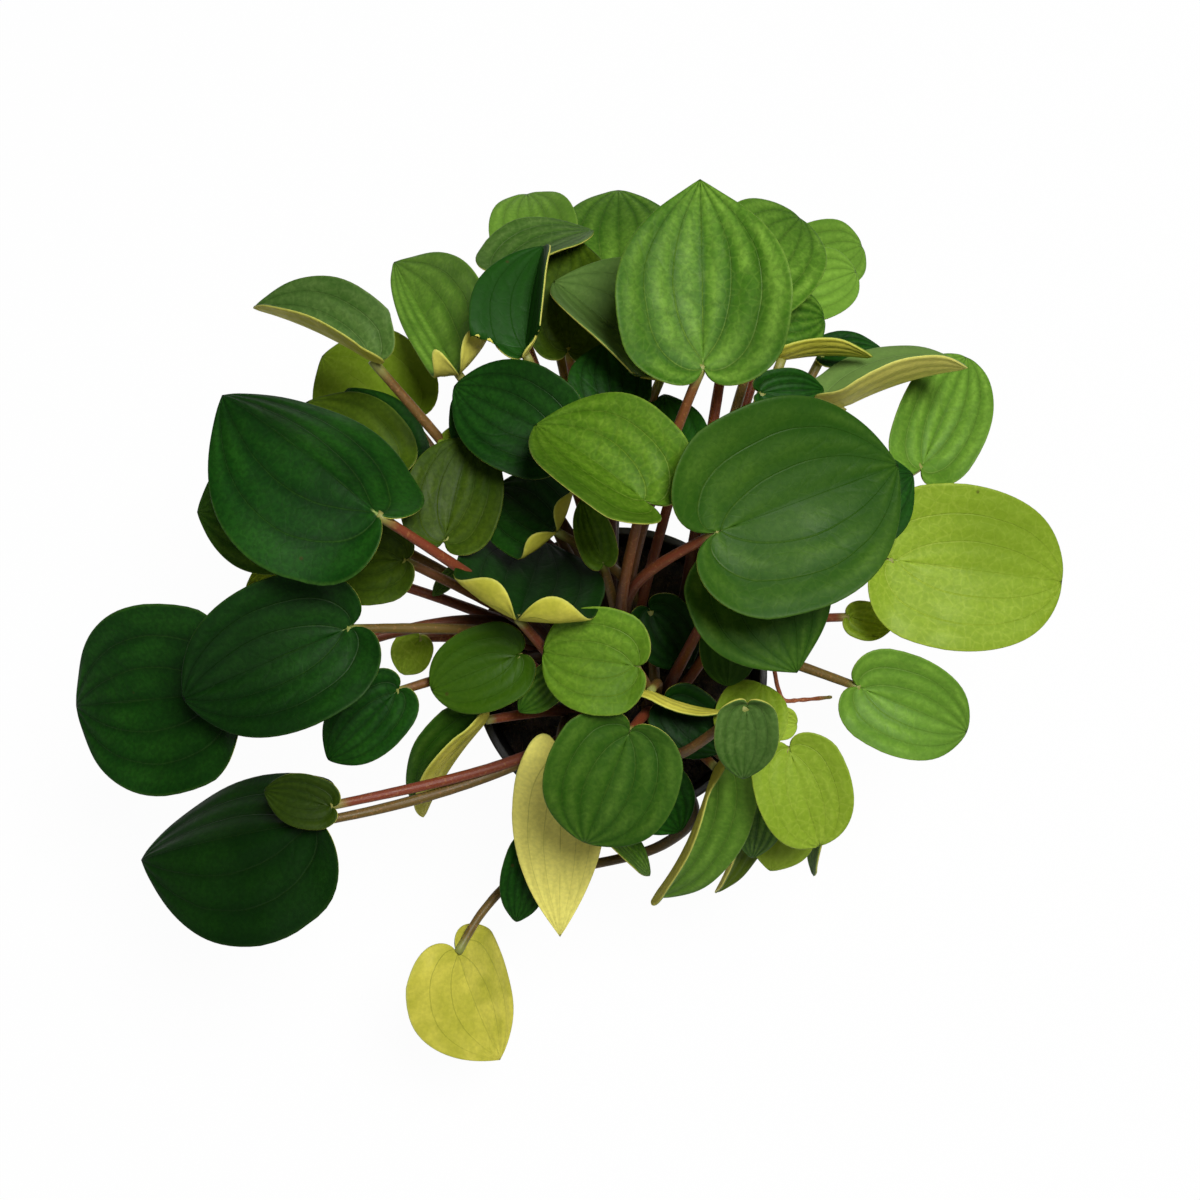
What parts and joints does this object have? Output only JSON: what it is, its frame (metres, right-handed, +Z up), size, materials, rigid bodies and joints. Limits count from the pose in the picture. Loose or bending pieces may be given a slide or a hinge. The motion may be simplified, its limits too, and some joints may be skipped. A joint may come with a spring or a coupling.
{
  "type": "potted peperomia plant",
  "caption": "Bushy potted peperomia with waved heart-shaped leaves on red-brown petioles, in a round tapered black nursery pot.",
  "frame": {"origin": "centre of the pot's base, on the surface it stands on", "axes": "+Z up along the pot; +Y towards the side of the plant that is at the top of the picture, +X to its right"},
  "size_m": [0.3775, 0.3458, 0.2564],
  "materials": {
    "pot": "matt black injection-moulded plastic",
    "soil": "crumbly very dark potting mix",
    "stems": "smooth red-brown to olive petioles",
    "flower_stalk": "smooth orange-brown stalk",
    "leaf_dark": "deep green upper face, satin",
    "leaf_mid": "mid green upper face, satin",
    "leaf_light": "light green upper face, satin",
    "leaf_lime": "lime green young upper face, satin",
    "leaf_olive": "olive green upper face, satin",
    "leaf_grey": "grey-green sheen on an upper face",
    "leaf_under": "yellow-green underside, satin"
  },
  "bodies": {
    "root": {"pot": "pot", "soil": "soil", "stems_back": "stems", "stems_front": "stems", "stems_left": "stems", "stems_middle": "stems", "stems_near": "stems", "stems_right": "stems", "flower_stalk": "flower_stalk", "leaf_01": "leaf_mid", "leaf_02": "leaf_grey", "leaf_03": "leaf_dark", "leaf_04": "leaf_olive", "leaf_05": "leaf_grey", "leaf_06": "leaf_mid", "leaf_07": "leaf_mid", "leaf_08": "leaf_mid", "leaf_09": "leaf_mid", "leaf_10": "leaf_mid", "leaf_11": "leaf_mid", "leaf_12": "leaf_lime", "leaf_14": "leaf_grey", "leaf_15": "leaf_mid", "leaf_16": "leaf_mid", "leaf_17": "leaf_dark", "leaf_18": "leaf_lime", "leaf_19": "leaf_grey", "leaf_20": "leaf_lime", "leaf_21": "leaf_dark", "leaf_22": "leaf_olive", "leaf_23": "leaf_dark", "leaf_24": "leaf_mid", "leaf_26": "leaf_dark", "leaf_27": "leaf_dark", "leaf_28": "leaf_dark", "leaf_29": "leaf_olive", "leaf_30": "leaf_dark", "leaf_33": "leaf_olive", "leaf_34": "leaf_olive", "leaf_36": "leaf_dark", "leaf_37": "leaf_light", "leaf_40": "leaf_mid", "leaf_41": "leaf_dark", "leaf_42": "leaf_dark", "leaf_45": "leaf_mid", "leaf_47": "leaf_mid", "leaf_48": "leaf_lime", "leaf_50": "leaf_grey", "leaf_51": "leaf_lime", "leaf_53": "leaf_mid", "leaf_54": "leaf_olive", "leaf_57": "leaf_mid", "leaf_59": "leaf_light", "leaf_60": "leaf_mid", "leaf_61": "leaf_under", "leaf_63": "leaf_under", "leaf_64": "leaf_light", "leaf_66": "leaf_mid", "leaf_70": "leaf_dark", "leaf_72": "leaf_dark"}
  },
  "joints": []
}
